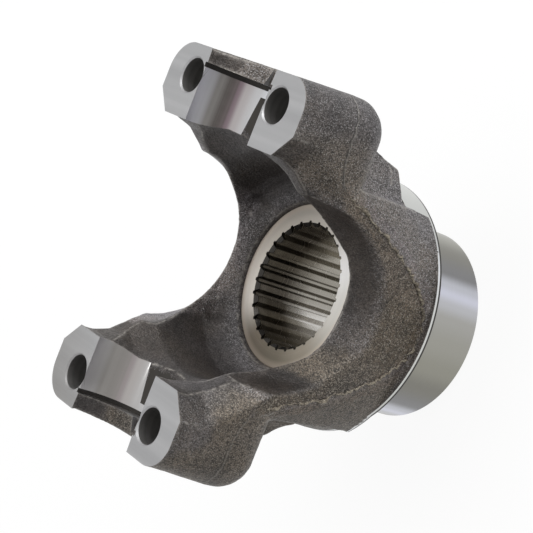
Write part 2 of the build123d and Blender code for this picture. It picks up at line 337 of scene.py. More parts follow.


# grain is in metres and bumpDepth a share of it; the inner palette is a darker copy of the outside one,
# painted shade for the hollows
skinSettings = Setup(
    grain=0.00042, wear=0.75, metallic=0.3, rough=0.5, roughSpread=0.06, bump=0.9, bumpDepth=0.5,
    # the worn colour is wear and painted highlight at once
    wornColour=(0.3, 0.28, 0.255), patchLow=0.72, patchHigh=1.3, draftTint=(1.35, 1.34, 1.42),
    # painted shade: the darkening tint and how far it hides the flecks
    sootTint=(0.42, 0.395, 0.38), sootCover=0.8, seamDark=0.8, seamLight=0.6, seamHeight=1.5,
    tintWarm=(1.04, 0.95, 0.86), tintCool=(1.0, 0.99, 1.06),
    outside=Setup(dark=(0.026, 0.024, 0.022), light=(0.138, 0.13, 0.127), fleck=(0.5, 0.49, 0.5),
                  fleckShare=0.6),
    inner=Setup(dark=(0.02, 0.0175, 0.016), light=(0.058, 0.052, 0.049), fleck=(0.2, 0.19, 0.185),
                fleckShare=0.25),
    # brown palette of the trimmed band and the stains, also used as painted shade on the low side
    trim=Setup(dark=(0.014, 0.0115, 0.0085), light=(0.124, 0.106, 0.082), fleck=(0.42, 0.38, 0.32)))
# parts of the noise that tool marks and bands are taken from, the roughness they add or take away, and
# their depth as a share of the pitch
cutSettings = Setup(
    markRange=(0.3, 0.7), bandRange=(0.35, 0.65), roughRange=(0.2, 0.8), smoother=0.06, rougher=0.08,
    markDepth=0.25)


def angleAround(build, values, place):
    # part of a turn about Z from the start angle, counted so many times a full turn
    angle = build.math("ARCTAN2", place["Y"], place["X"])
    start = math.radians(values.bandStart)
    turned = build.math("DIVIDE", build.math("SUBTRACT", angle, start), 2 * math.pi)
    return build.math("FRACT", build.product(turned, values.bandTurns))


# colours of the cut faces: each function gets the place by coordinate, the distance from the part's
# axis and the tool marks
def flatBands(build, values, place, radius, marks):
    share = build.stretch(marks["Bands"], *cutSettings.bandRange)
    return build.blend(share, values.dark, values.light)


def padBands(build, values, place, radius, marks):
    # milled pads: faint cutter bands, a little darker toward one corner
    corner = build.stretch(build.math("ADD", place["X"], place["Y"]), *values.cornerRange,
                           values.cornerShare, 0.0)
    return build.blend(corner, flatBands(build, values, place, radius, marks), values.cornerColour)


def saddleBands(build, values, place, radius, marks):
    # painted reflections: bright and dark bands along the bore, placed by x over the bore's radius, weaker
    # at the low ear
    along = build.stretch(build.math("DIVIDE", place["X"], values.boreRadius), -1.0, 1.0)
    low = build.stretch(place["Y"], 0.0, values.lowFade, values.lowShare, 0.0)
    return build.blend(low, build.ramp(along, values.stops), values.light)


def seatBands(build, values, place, radius, marks):
    # faced seat: painted light and shade as tones by angle, a tanned ring near the outer edge and a dark
    # edge line of painted shade on the far side, left out on the near side where it would glint
    toned = build.ramp(angleAround(build, values, place), values.stops)
    ring = build.stretch(radius, *values.ringRange, 0.0, values.ringShare)
    toned = build.blend(build.product(ring, marks["Bands"]), toned, values.ringColour)
    edge = build.math("GREATER_THAN", radius, values.edgeFrom)
    edge = build.product(edge, build.stretch(place["X"], *values.edgeRange, 1.0, 0.0))
    toned = build.blend(edge, toned, values.edgeColour)
    shade = build.stretch(marks["Bands"], *cutSettings.markRange, *values.shade)
    return build.times(toned, build.grey(shade))


def hubBands(build, values, place, radius, marks):
    # painted reflections as soft bright bands round the turned surface, a painted highlight on the rim and
    # a painted shadow as a dark line under it
    around = angleAround(build, values, place)
    wobble = build.product(build.math("SUBTRACT", marks["Marks"], 0.5), values.wobble)
    base = build.ramp(build.math("ADD", around, wobble), values.stops)
    isRim = build.math("GREATER_THAN", radius, values.rimFrom)
    bright = build.blend(build.product(isRim, values.rimShare), base, values.rimColour)
    low = build.math("LESS_THAN", place["Z"], values.lineTop)
    return build.blend(build.product(isRim, low), bright, values.lineColour)


def splineBands(build, values, place, radius, marks):
    # spline: painted highlights and shade as tones by angle deep in the bore, darker toward the seat, black
    # run-in
    toned = build.ramp(angleAround(build, values, place), values.stops)
    wobble = build.stretch(marks["Bands"], *cutSettings.markRange, *values.wobble)
    share = build.product(build.stretch(place["Z"], *values.deepRange), wobble, clamp=True)
    runIn = build.math("GREATER_THAN", place["Z"], values.runInFrom)
    return build.blend(runIn, build.blend(share, toned, values.dark), values.runInColour)


def machinedMaterial(name, values, along, bands):
    # cut steel: soft bands and fine tool marks across the named coordinate
    material, build, shader, coords = startMaterial(name)
    place = build.coordinates(coords)
    squares = [build.product(place[label], place[label]) for label in "XY"]
    radius = build.math("SQRT", build.math("ADD", *squares))
    across = radius if along == "radius" else place[along]
    marks = build.group(toolMarks, {"Along": across, "Vector": coords, "Pitch": values.pitch})
    base = bands(build, values, place, radius, marks)
    fine = build.stretch(marks["Marks"], *cutSettings.markRange)
    colour = build.blend(build.product(fine, values.streak), base, values.streakColour)
    limits = (values.rough - cutSettings.smoother, values.rough + cutSettings.rougher)
    rough = build.stretch(marks["Marks"], *cutSettings.roughRange, *limits)
    depth = values.pitch * cutSettings.markDepth
    finishShader(build, shader, values, colour, rough, marks["Marks"], depth)
    return material


# the cut faces' finishes, with their places in metres and angles in degrees; the stops of saddle, seat, hub
# and spline paint reflections, highlights and shade, and the relief's near-black paints shade
machinedSettings = {
    "pad": Setup(
        cornerRange=(-0.075, -0.045), cornerShare=0.65, cornerColour=(0.22, 0.21, 0.195),
        dark=(0.34, 0.34, 0.345), light=(0.42, 0.42, 0.425), pitch=0.0005, streak=0.25,
        streakColour=(0.47, 0.47, 0.48), metallic=0.85, rough=0.42, bump=0.25),
    "saddle": Setup(
        boreRadius=0.01509, light=(0.42, 0.405, 0.385), lowFade=0.01, lowShare=0.5, pitch=0.0004,
        streak=0.12, streakColour=(0.5, 0.47, 0.46), metallic=0.95, rough=0.34, bump=0.15,
        stops=((0.0, (0.62, 0.62, 0.68)), (0.008, (0.5, 0.5, 0.53)), (0.03, (0.24, 0.23, 0.22)),
        (0.067, (0.085, 0.075, 0.07)), (0.1, (0.11, 0.09, 0.09)), (0.12, (0.2, 0.15, 0.17)),
        (0.16, (0.43, 0.4, 0.4)), (0.25, (0.56, 0.56, 0.57)), (0.34, (0.7, 0.71, 0.74)),
        (0.6, (0.5, 0.49, 0.485)), (1.0, (0.6, 0.6, 0.6)))),
    "seat": Setup(
        bandStart=0.0, bandTurns=1, ringRange=(0.0205, 0.0222), ringShare=0.9,
        ringColour=(0.6, 0.5, 0.41), edgeFrom=0.02252, edgeRange=(-0.006, 0.004),
        edgeColour=(0.07, 0.05, 0.035), shade=(0.9, 1.1), pitch=0.0004, streak=0.2,
        streakColour=(0.55, 0.52, 0.48), metallic=0.85, rough=0.42, bump=0.25,
        stops=((0.0, (0.66, 0.64, 0.6)), (0.08, (0.8, 0.79, 0.78)), (0.2, (0.5, 0.47, 0.42)),
        (0.4, (0.45, 0.41, 0.36)), (0.58, (0.74, 0.69, 0.63)), (0.68, (0.24, 0.2, 0.15)),
        (0.77, (0.22, 0.19, 0.14)), (0.86, (0.32, 0.28, 0.22)), (1.0, (0.66, 0.64, 0.6)))),
    "hub": Setup(
        bandStart=29.0, bandTurns=4, wobble=0.03, rimFrom=0.0345, rimShare=0.55,
        rimColour=(0.85, 0.87, 0.86), lineTop=0.02485, lineColour=(0.03, 0.028, 0.025), pitch=0.00035,
        streak=0.14, streakColour=(0.42, 0.42, 0.42), metallic=1.0, rough=0.3, bump=0.2,
        stops=((0.0, (0.6, 0.61, 0.7)), (0.06, (0.5, 0.51, 0.56)), (0.15, (0.2, 0.2, 0.205)),
        (0.34, (0.2, 0.195, 0.17)), (0.5, (0.28, 0.275, 0.235)), (0.68, (0.33, 0.325, 0.29)),
        (0.84, (0.37, 0.365, 0.345)), (0.93, (0.48, 0.485, 0.51)), (1.0, (0.6, 0.61, 0.7)))),
    "spline": Setup(
        bandStart=120.0, bandTurns=2, wobble=(0.7, 1.3), deepRange=(0.024, 0.034),
        dark=(0.13, 0.115, 0.095), runInFrom=0.0419, runInColour=(0.03, 0.027, 0.024), pitch=0.0006,
        streak=0.12, streakColour=(0.4, 0.38, 0.35), metallic=0.9, rough=0.24, bump=0.1,
        stops=((0.0, (0.6, 0.57, 0.5)), (0.3, (0.34, 0.32, 0.28)), (0.42, (0.4, 0.38, 0.34)),
        (0.52, (0.75, 0.73, 0.7)), (0.6, (0.55, 0.53, 0.5)), (0.72, (0.3, 0.28, 0.24)),
        (1.0, (0.6, 0.57, 0.5)))),
    "hole": Setup(
        dark=(0.17, 0.165, 0.16), light=(0.38, 0.37, 0.36), pitch=0.0004, streak=0.2,
        streakColour=(0.12, 0.115, 0.11), metallic=0.7, rough=0.4, bump=0.3),
    # relief: near-black, dark skin darkened further as painted shade in the recesses beside the saddles
    "relief": Setup(
        dark=(0.012, 0.0105, 0.009), light=(0.03, 0.026, 0.022), pitch=0.0006, streak=0.1,
        streakColour=(0.08, 0.07, 0.06), metallic=0.1, rough=0.55, bump=0.3),
}

surroundingsSetup = Setup(ambient=0.2, glossy=0.9)
floorSetup = Setup(half=6.0, height=-0.0004, colour=(0.8, 0.8, 0.8), rough=0.9, whiteShare=0.93)


def addSurroundings(values):
    # white surroundings: seen white by the camera, at their own levels by reflections and by the rest
    world = bpy.data.worlds.new("surroundings")
    world.use_nodes = True
    bpy.context.scene.world = world
    build = NodeBuilder(world.node_tree)
    background = world.node_tree.nodes["Background"]
    path = build.node("ShaderNodeLightPath").outputs
    seen = build.math("MAXIMUM", path["Is Camera Ray"], path["Is Transmission Ray"])
    glossy = path["Is Glossy Ray"]
    plain = build.weighted(glossy, values.glossy, build.math("SUBTRACT", 1.0, glossy), values.ambient)
    build.fill(background, {"Color": (1.0, 1.0, 1.0), "Strength": build.math("MAXIMUM", seen, plain)})


def addFloor(values):
    # a pale floor that camera and reflections see nearly white
    half = values.half
    mesh = bpy.data.meshes.new("floor")
    corners = [(-half, -half, 0), (half, -half, 0), (half, half, 0), (-half, half, 0)]
    mesh.from_pydata(corners, [], [(0, 1, 2, 3)])
    floor = bpy.data.objects.new("floor", mesh)
    bpy.context.collection.objects.link(floor)
    floor.location.z = values.height
    material = bpy.data.materials.new("paleFloor")
    material.use_nodes = True
    build = NodeBuilder(material.node_tree)
    shader = material.node_tree.nodes["Principled BSDF"]
    build.fill(shader, {"Base Color": values.colour, "Roughness": values.rough})
    path = build.node("ShaderNodeLightPath").outputs
    seen = build.math("MAXIMUM", path["Is Camera Ray"], path["Is Glossy Ray"])
    glow = build.node("ShaderNodeEmission").outputs[0]
    mixed = build.fill(build.node("ShaderNodeMixShader"), {
        0: build.product(seen, values.whiteShare), 1: shader.outputs[0], 2: glow})
    build.link(mixed[0], material.node_tree.nodes["Material Output"].inputs["Surface"])
    mesh.materials.append(material)


addSurroundings(surroundingsSetup)
addFloor(floorSetup)
print("surroundings built")


# forged body: the CAD surface cut finer, so that its skin can be uneven and its edges a little round;
# lengths in millimetres, waves as (wavelength, weight), dull rims as (reach in y, heights, wear and painted
# highlight left)
bodySetup = Setup(
    mergeMetres=2e-6, longestEdge=1.25, passes=6, sharpDegrees=28.0, roundReach=1.3, roundRounds=4,
    roundPasses=3, roundShare=0.6, waves=((9.0, 0.5), (3.2, 0.3), (1.5, 0.2)), waveDepth=0.16, seed=7,
    fadeReach=2.0, fadeRounds=5, fadeLength=1.5, wearReach=0.75, wearRounds=3, lineFrom=33.0,
    lineReach=1.1, lineWear=0.8, rimSide=29.0,
    dullRims=((27.5, (38.0, 64.0), 0.25), (37.0, (64.0, 79.0), 0.2)))
# places of the cut surfaces, in millimetres; level, toStop, toCap, upright and notLevel are limits for
# the faces' directions
cutPlaces = Setup(
    padHeight=84.8, padDepth=0.2, saddleRadius=15.09, stopRadius=19.0, earLow=66.0, earSpan=(30.0, 46.3),
    stopSpan=(45.2, 46.2), grooveSpan=(44.5, 46.2), grooveDepths=(0.05, 1.0), hollowRadius=17.2,
    hollowSpan=(32.8, 44.4), hollowSide=8.6, hollowTop=71.5, lipLow=69.0, lipFrom=46.0, lipSide=10.0,
    seatHeight=43.0, seatDepth=0.3, seatRadius=22.8, boreRadius=18.3, hubHeight=24.3, rimTop=25.4,
    rimRadius=35.0, turnedTop=33.6, turnedRadius=35.6, footSide=30.2, nearWall=0.08, boltX=20.0,
    boltY=41.7, boltRadius=4.75, chamfer=0.6, chamferLow=84.2, nutSeatRadius=9.1,
    nutSeatHeights=(56.0, 58.5), sideFace=33.1, halfSide=33.2, coneX=33.6, coneY=38.6, slopeX=0.199,
    slopeY=0.28, flashLow=25.6, flashRise=0.0353, flashPower=2.1, flashHigh=58.4, draftWidth=1.8,
    draftGrowth=0.09, draftTop=60.5, draftFade=1.5, draftFrom=20.0, draftBeyond=0.6, draftDepth=2.5,
    draftLeast=0.05, overSeat=0.1, overHub=0.05, level=0.9, toCap=0.99, toStop=0.7, upright=0.1,
    notLevel=0.8)
forgedKind, padKind, saddleKind, seatKind, turnedKind, splineKind, holeKind, reliefKind = range(8)


def between(values, span):
    return (values > span[0]) & (values < span[1])


def rising(values, length):
    # 0 up to zero, then rising to 1 over the length
    return np.clip(values / length, 0.0, 1.0)


def grown(values, rule):
    # 0 up to the rule's start, then rising over its length to its share
    share, start, length = rule
    return share * rising(values - start, length)


def triangleNormals(points, faces):
    # unit normal and area of each triangle
    first, second, third = (points[faces[:, column]] for column in range(3))
    cross = np.cross(second - first, third - first)
    length = np.linalg.norm(cross, axis=1)
    return cross / np.maximum(length, 1e-12)[:, None], length / 2


def mergedSurface(node, mergeDistance):
    # a merged copy of the node's triangles, in millimetres
    work = bmesh.new()
    work.from_mesh(node.data)
    bmesh.ops.remove_doubles(work, verts=work.verts, dist=mergeDistance)
    bmesh.ops.triangulate(work, faces=work.faces)
    points = np.array([v.co for v in work.verts]) * 1000.0
    faces = np.array([[v.index for v in f.verts] for f in work.faces])
    work.free()
    return points, faces


def edgeTable(faces):
    # every edge once, and for each face the edge numbers of its sides 0-1, 1-2 and 2-0
    sides = np.concatenate((faces[:, [0, 1]], faces[:, [1, 2]], faces[:, [2, 0]]))
    edges, number = np.unique(np.sort(sides, axis=1), axis=0, return_inverse=True)
    return edges, number.reshape(3, -1).T


def cutFiner(points, faces, origin, longest, wanted):
    # splits each edge of a wanted face over the longest length at its middle; each face becomes one to
    # four faces
    edges, sides = edgeTable(faces)
    length = np.linalg.norm(points[edges[:, 0]] - points[edges[:, 1]], axis=1)
    needed = np.zeros(len(edges), dtype=bool)
    needed[sides[wanted].ravel()] = True
    marked = (length > longest) & needed
    middle = np.full(len(edges), -1)
    middle[marked] = len(points) + np.arange(marked.sum())
    points = np.concatenate((points, points[edges[marked]].mean(axis=1)))
    mids = middle[sides]
    split = mids >= 0
    count = split.sum(axis=1)
    # each face is turned so that its longest marked side comes first
    turn = np.argmax(np.where(split, length[sides], -1.0), axis=1)
    order = (turn[:, None] + np.arange(3)) % 3
    a, b, c = np.take_along_axis(faces, order, axis=1).T
    ab, bc, ca = np.take_along_axis(mids, order, axis=1).T
    made, parents = [], []

    def take(chosen, *triangles):
        for triangle in triangles:
            made.append(np.stack(triangle, axis=1)[chosen])
            parents.append(origin[chosen])

    take(count == 0, (a, b, c))
    take(count == 1, (a, ab, c), (ab, b, c))
    take((count == 2) & (bc >= 0), (a, ab, c), (ab, b, bc), (ab, bc, c))
    take((count == 2) & (ca >= 0), (a, ab, ca), (ab, b, c), (ab, c, ca))
    take(count == 3, (a, ab, ca), (ab, b, bc), (ca, bc, c), (ab, bc, ca))
    return points, np.concatenate(made), np.concatenate(parents)


def surfaceKinds(centres, normals, places):
    # each face's finish from its place and direction
    x, y, z = centres.T
    side, away, up = np.abs(x), np.abs(y), normals[:, 2]
    radius = np.hypot(x, y)
    fromCap = np.hypot(x, z - places.padHeight)
    fromBolt = np.hypot(side - places.boltX, away - places.boltY)
    towardCap = -(normals[:, 0] * x + up * (z - places.padHeight)) / np.maximum(fromCap, 1e-6)
    kind = np.full(len(centres), forgedKind)
    kind[(up > places.level) & (z > places.padHeight - places.padDepth)] = padKind
    # on the ears: saddles, stops, reliefs and hollows beside the saddles, ends of the lips
    high = z > places.earLow
    onEar = high & between(away, places.earSpan)
    onSaddle = np.abs(fromCap - places.saddleRadius) < places.nearWall
    kind[onEar & onSaddle & (towardCap > places.toCap)] = saddleKind
    stop = high & (fromCap < places.stopRadius) & between(away, places.stopSpan)
    kind[stop & (np.abs(normals[:, 1]) > places.toStop)] = saddleKind
    groove = between(fromCap - places.saddleRadius, places.grooveDepths)
    kind[onEar & groove & between(away, places.grooveSpan) & (kind == forgedKind)] = reliefKind
    hollow = onEar & (fromCap < places.hollowRadius) & between(away, places.hollowSpan)
    hollow &= (side < places.hollowSide) & (z < places.hollowTop)
    kind[hollow & (kind == forgedKind)] = reliefKind
    lipEnd = (z > places.lipLow) & (away > places.lipFrom) & (side < places.lipSide)
    kind[lipEnd & (normals[:, 0] > places.level)] = padKind
    # round the axis: seat, spline, hub, rim and the turned face of the foot
    onSeat = (up > places.level) & (np.abs(z - places.seatHeight) < places.seatDepth)
    kind[onSeat & (radius < places.seatRadius)] = seatKind
    inBore = (radius < places.boreRadius) & (z < places.seatHeight + places.overSeat)
    kind[inBore & (kind == forgedKind)] = splineKind
    kind[(z < places.hubHeight + places.overHub) & (radius >= places.boreRadius)] = turnedKind
    kind[(z < places.rimTop) & (radius > places.rimRadius)] = turnedKind
    turned = np.abs(radius - places.turnedRadius) < places.nearWall
    turned &= (z < places.turnedTop) & (y > places.footSide)
    kind[turned & (np.abs(up) < places.upright)] = turnedKind
    # bolt holes with their chamfers, and the seats of the nuts
    kind[(fromBolt < places.boltRadius) & (np.abs(up) < places.notLevel)] = holeKind
    chamfer = (fromBolt < places.boltRadius + places.chamfer) & (z > places.chamferLow)
    kind[chamfer & (np.abs(up) < places.level)] = padKind
    nutSeat = (fromBolt < places.nutSeatRadius) & between(z, places.nutSeatHeights)
    kind[nutSeat & (up < -places.level)] = padKind
    return kind


def cutSurface(node, setup, places):
    # the node's surface with its forged faces cut finer: points, faces, their normals and finishes
    points, faces = mergedSurface(node, setup.mergeMetres)
    origin = np.arange(len(faces))
    firstNormals, _ = triangleNormals(points, faces)
    for step in range(setup.passes):
        kinds = surfaceKinds(points[faces].mean(axis=1), firstNormals[origin], places)
        points, faces, origin = cutFiner(points, faces, origin, setup.longestEdge, kinds == forgedKind)
    normals = firstNormals[origin]
    return points, faces, normals, surfaceKinds(points[faces].mean(axis=1), normals, places)


def flashHeight(y, places):
    # height of the trimmed flash line on the side faces: lowest in the middle, rising with a power of y
    return places.flashLow + places.flashRise * np.abs(y) ** places.flashPower


def draftLines(height, places):
    # at each height, y of the flash line and the point where the forged draft runs into the oval cone
    inner = (np.maximum(height - places.flashLow, 0.0) / places.flashRise) ** (1 / places.flashPower)
    rise = height - places.hubHeight
    halfX = places.coneX + places.slopeX * rise
    halfY = places.coneY + places.slopeY * rise
    edge = halfY * np.sqrt(np.clip(1 - (places.halfSide / halfX) ** 2, 0, 1))
    outer = edge + places.draftWidth + places.draftGrowth * (places.flashHigh - height)
    outerX = halfX * np.sqrt(np.clip(1 - (outer / halfY) ** 2, 0, 1))
    return inner, outer, outerX


def cutDraft(points, places):
    # flattens the edge between side face and cone: whatever lies outside the line between the draft's
    # two edges is laid back onto it
    x, y, z = points.T
    inner, outer, outerX = draftLines(z, places)
    alongX = outerX - places.halfSide
    alongY = outer - inner
    length = np.maximum(np.hypot(alongX, alongY), 1e-6)
    normalX, normalY = alongY / length, -alongX / length
    over = (np.abs(x) - places.halfSide) * normalX + (np.abs(y) - inner) * normalY
    inside = (z > places.flashLow) & (np.abs(x) > places.draftFrom)
    inside &= np.abs(y) < outer + places.draftBeyond
    over = np.where(inside, np.clip(over, 0.0, places.draftDepth), 0.0)
    over = over * rising(places.draftTop - z, places.draftFade)
    moved = points.copy()
    moved[:, 0] -= np.sign(x) * normalX * over
    moved[:, 1] -= np.sign(y) * normalY * over
    return moved, over > places.draftLeast


# number of waves for each wavelength, how far they are drawn out, and what brings their sum to -1..1
waveSetup = Setup(count=10, stretch=(0.7, 1.4), divisor=3.2)


def waveField(points, scales, seed):
    # sum of sine waves in random directions, each wavelength with its own weight
    random = np.random.default_rng(seed)
    total = np.zeros(len(points))
    for wavelength, weight in scales:
        for step in range(waveSetup.count):
            direction = random.normal(size=3)
            direction /= np.linalg.norm(direction)
            phase = random.uniform(0, 2 * math.pi)
            stretch = random.uniform(*waveSetup.stretch)
            angle = points @ direction * (2 * math.pi * stretch / wavelength) + phase
            total += weight * np.sin(angle) / waveSetup.divisor
    return total


def neighbourMean(values, edges):
    # mean over each vertex's neighbours
    total = np.zeros(values.shape)
    np.add.at(total, edges[:, 0], values[edges[:, 1]])
    np.add.at(total, edges[:, 1], values[edges[:, 0]])
    near = np.maximum(np.bincount(edges.ravel(), minlength=len(values)), 1)
    return total / near.reshape((-1,) + (1,) * (values.ndim - 1))


def spread(reach, starts, edges, points, rounds):
    # distance along edges from the start vertices, worked out in a few rounds; further off it is far
    # over the reach
    length = np.linalg.norm(points[edges[:, 0]] - points[edges[:, 1]], axis=1)
    distance = np.full(len(points), 10.0 * reach)
    distance[starts] = 0.0
    for step in range(rounds):
        np.minimum.at(distance, edges[:, 0], distance[edges[:, 1]] + length)
        np.minimum.at(distance, edges[:, 1], distance[edges[:, 0]] + length)
    return distance


def edgeFacts(centres, normals, kinds, edges, sides, sharpDegrees):
    # for each edge, from its two faces: sharp, bent outwards, between forged faces, between finishes
    flat = sides.ravel()
    order = np.argsort(flat, kind="stable")
    faceOf = np.repeat(np.arange(len(sides)), 3)[order]
    start = np.searchsorted(flat[order], np.arange(len(edges)))
    left = faceOf[start]
    right = faceOf[np.minimum(start + 1, len(faceOf) - 1)]
    sharp = (normals[left] * normals[right]).sum(axis=1) < math.cos(math.radians(sharpDegrees))
    convex = ((centres[right] - centres[left]) * normals[left]).sum(axis=1) < 0
    forged = (kinds[left] == forgedKind) & (kinds[right] == forgedKind)
    return sharp, convex, forged, kinds[left] != kinds[right]


def roundEdges(points, starts, edges, movable, setup):
    # draws the points near the start vertices towards their neighbours, so forged edges lose sharpness
    near = spread(setup.roundReach, starts, edges, points, setup.roundRounds)
    weight = np.where(movable, np.clip(1.0 - near / setup.roundReach, 0.0, 1.0), 0.0)
    for step in range(setup.roundPasses):
        points = points + setup.roundShare * weight[:, None] * (neighbourMean(points, edges) - points)
    return points


def pushSkin(points, faces, edges, movable, setup):
    # uneven skin: pushed in along the normal, fading out toward the cut faces
    fromCut = spread(setup.fadeReach, np.flatnonzero(~movable), edges, points, setup.fadeRounds)
    pointNormals = np.zeros(points.shape)
    faceNormals, area = triangleNormals(points, faces)
    for column in range(3):
        np.add.at(pointNormals, faces[:, column], faceNormals * area[:, None])
    pointNormals /= np.maximum(np.linalg.norm(pointNormals, axis=1), 1e-9)[:, None]
    wave = waveField(points, setup.waves, setup.seed)
    depth = setup.waveDepth * np.clip(0.5 + 0.5 * wave, 0, 1) * rising(fromCut, setup.fadeLength)
    return points - pointNormals * np.where(movable, depth, 0.0)[:, None]


def wearGlintMask(points, starts, edges, movable, setup, places):
    # worn edges with painted edge highlights from the start vertices, and a faint worn line with painted
    # highlight where the draft runs into the cone
    x, y, z = points.T
    fromWornGlint = spread(setup.wearReach, starts, edges, points, setup.wearRounds)
    wear = np.clip(1.0 - fromWornGlint / setup.wearReach, 0.0, 1.0)
    _, outer, outerX = draftLines(z, places)
    toLine = np.hypot(np.abs(y) - outer, np.abs(x) - outerX)
    onLine = between(z, (setup.lineFrom, places.draftTop)) & movable
    line = np.where(onLine, np.clip(1.0 - toLine / setup.lineReach, 0, 1), 0.0)
    wear = np.maximum(wear, line * setup.lineWear)
    # the rims of windows and flares have no bright line
    for reach, heights, left in setup.dullRims:
        onRim = (np.abs(x) > setup.rimSide) & (np.abs(y) < reach) & between(z, heights)
        wear = np.where(onRim, left * wear, wear)
    return wear


# tones of the skin by place: distances in millimetres, shares and limits of direction; the painted shade
# rules, the stain rules and the rule for the cone below the low ear are rules for grown: share, start and
# length
toneSetup = Setup(
    facing=0.5, upward=0.3, slant=0.3, flat=0.97, inwards=0.05, earLow=64.0, throatLow=40.0,
    flareFrom=25.5, flareTo=36.0, lowFlareTone=0.4, windowReach=27.0, windowFrom=24.0, windowMiddle=-5.0,
    windowSpread=7.0, windowLight=0.6, outerFrom=30.8, outerLength=1.6, outerLight=0.75, ringRadius=25.8,
    ringTop=47.0, ringTone=0.3, rimSpan=(43.0, 72.0), rimReach=32.0, rimTurn=-0.95, rimFrom=-23.5,
    rimSlope=0.1, rimBend=10.0, rimLength=0.8, rimTint=0.9, windowSoot=(0.85, 12.0, 4.0),
    highFlareSoot=0.6, lowFlareSoot=0.2, earSoot=(0.45, 39.0, 4.0), earSide=16.0, earFrom=38.0,
    earSideLow=60.0, belowFrom=8.0, belowTop=60.0, belowSoot=(0.4, 20.0, 5.0), belowTrim=(1.0, 6.0, 6.0),
    patchWaves=((14.0, 0.6), (5.0, 0.4)), patchDepth=4.0, patchSeed=10, stainFrom=26.0, stainLow=58.0,
    stainTurn=-0.4, highStain=(0.6, -42.0, 6.0), lowStain=(0.9, -79.0, 5.0), noseStain=(10.0, 40.0, 8.0),
    tintFrom=8.0, tintTop=66.0, bandTint=0.6)


def skinTones(centres, normals, forged, tones, places):
    # masks of the forged skin, face by face: painted shade on the inner walls, more painted shade, the
    # trimmed band with the stain over the ears (partly painted shade on the low side), and the paler tint
    x, y, z = centres.T
    side, away, up = np.abs(x), np.abs(y), normals[:, 2]
    radius = np.hypot(x, y)
    outward = (normals[:, :2] * centres[:, :2]).sum(axis=1) / np.maximum(radius, 1e-6)
    flare = (away > tones.flareFrom) & (z > tones.earLow)
    flare &= normals[:, 0] * np.sign(x) > tones.facing
    window = forged & (up > tones.upward) & (away < tones.windowReach)
    window &= (side > tones.windowFrom) & (z < tones.earLow)
    ring = (radius < tones.ringRadius) & (z < tones.ringTop) & (up > tones.upward)
    inner = (forged & ~flare & (outward < tones.inwards) & (z > tones.throatLow)).astype(float)
    # each window has less painted shade at the middle and at its outer rim
    middle = np.exp(-((y - tones.windowMiddle) / tones.windowSpread) ** 2)
    outermost = rising(side - tones.outerFrom, tones.outerLength)
    inWindow = (1.0 - tones.windowLight * middle) * (1.0 - tones.outerLight * outermost)
    inner = np.where(window, inWindow, inner)
    inner = np.where(ring, tones.ringTone, inner)
    inner = np.where(flare & forged & (y < 0), tones.lowFlareTone, inner)
    # the far rim of the opening is as light as the outside
    farRim = forged & between(z, tones.rimSpan) & (away < tones.rimReach)
    farRim &= normals[:, 0] > tones.rimTurn
    rimStart = tones.rimFrom + tones.rimSlope * np.maximum(away - tones.rimBend, 0.0)
    farShare = np.where(farRim, rising(rimStart - x, tones.rimLength), 0.0)
    inner = inner * (1.0 - farShare)
    # painted shade in the windows' low ends, on the slanted flares and on the high ear's side
    slanted = flare & forged & (np.abs(normals[:, 1]) > tones.slant) & (away < tones.flareTo)
    earSide = forged & ~slanted & (outward > 0.0) & (side > tones.earSide)
    earSide &= (y > tones.earFrom) & (z > tones.earSideLow)
    paintedShade = np.where(window, grown(-y, tones.windowSoot), 0.0)
    paintedShade = np.where(slanted & (up < tones.upward) & (y > 0), tones.highFlareSoot, paintedShade)
    paintedShade = np.where(slanted & (y < 0), tones.lowFlareSoot, paintedShade)
    paintedShade = np.where(earSide, grown(y, tones.earSoot), paintedShade)
    paintedShade = paintedShade * (1.0 - farShare)
    # the trimmed band, and the brown stain on the cone below the low ear, which also paints the shade of
    # these faces turned away from the light
    sideFace = forged & (np.abs(normals[:, 0]) > tones.flat) & (side > places.sideFace)
    trim = (sideFace & (z > flashHeight(y, places))).astype(float)
    below = forged & ~sideFace & (y < -tones.belowFrom) & (z < tones.belowTop)
    below &= outward > tones.inwards
    paintedShade = np.where(below, grown(-y, tones.belowSoot), paintedShade)
    trim = np.where(below, grown(-y, tones.belowTrim), trim)
    # the stain goes on over the ears: towards the middle on the high one, over the whole nose of the low
    # one, where it is partly painted shade
    patchy = tones.patchDepth * waveField(centres, tones.patchWaves, tones.patchSeed)
    ear = forged & (away > tones.stainFrom) & (z > tones.stainLow) & (outward > tones.stainTurn)
    ear &= (inner <= 0.5) | flare
    high = grown(patchy - y, tones.highStain)
    low = grown(patchy - z + grown(away, tones.noseStain), tones.lowStain)
    trim = np.where(ear, np.maximum(trim, np.where(y > 0, high, low)), trim)
    tinted = sideFace & (y > tones.tintFrom) & (z < tones.tintTop) & (trim > 0.5)
    draft = np.maximum(np.where(tinted, tones.bandTint, 0.0), tones.rimTint * farShare)
    return {"inner": inner, "trim": trim, "paintedShade": paintedShade, "draft": draft}


def onPoints(values, faces, edges, count):
    # mean over the faces round each vertex, smoothed twice
    total = np.zeros(count)
    near = np.zeros(count)
    for column in range(3):
        np.add.at(total, faces[:, column], values)
        np.add.at(near, faces[:, column], 1.0)
    mean = total / np.maximum(near, 1.0)
    for step in range(2):
        mean = 0.5 * (mean + neighbourMean(mean, edges))
    return mean


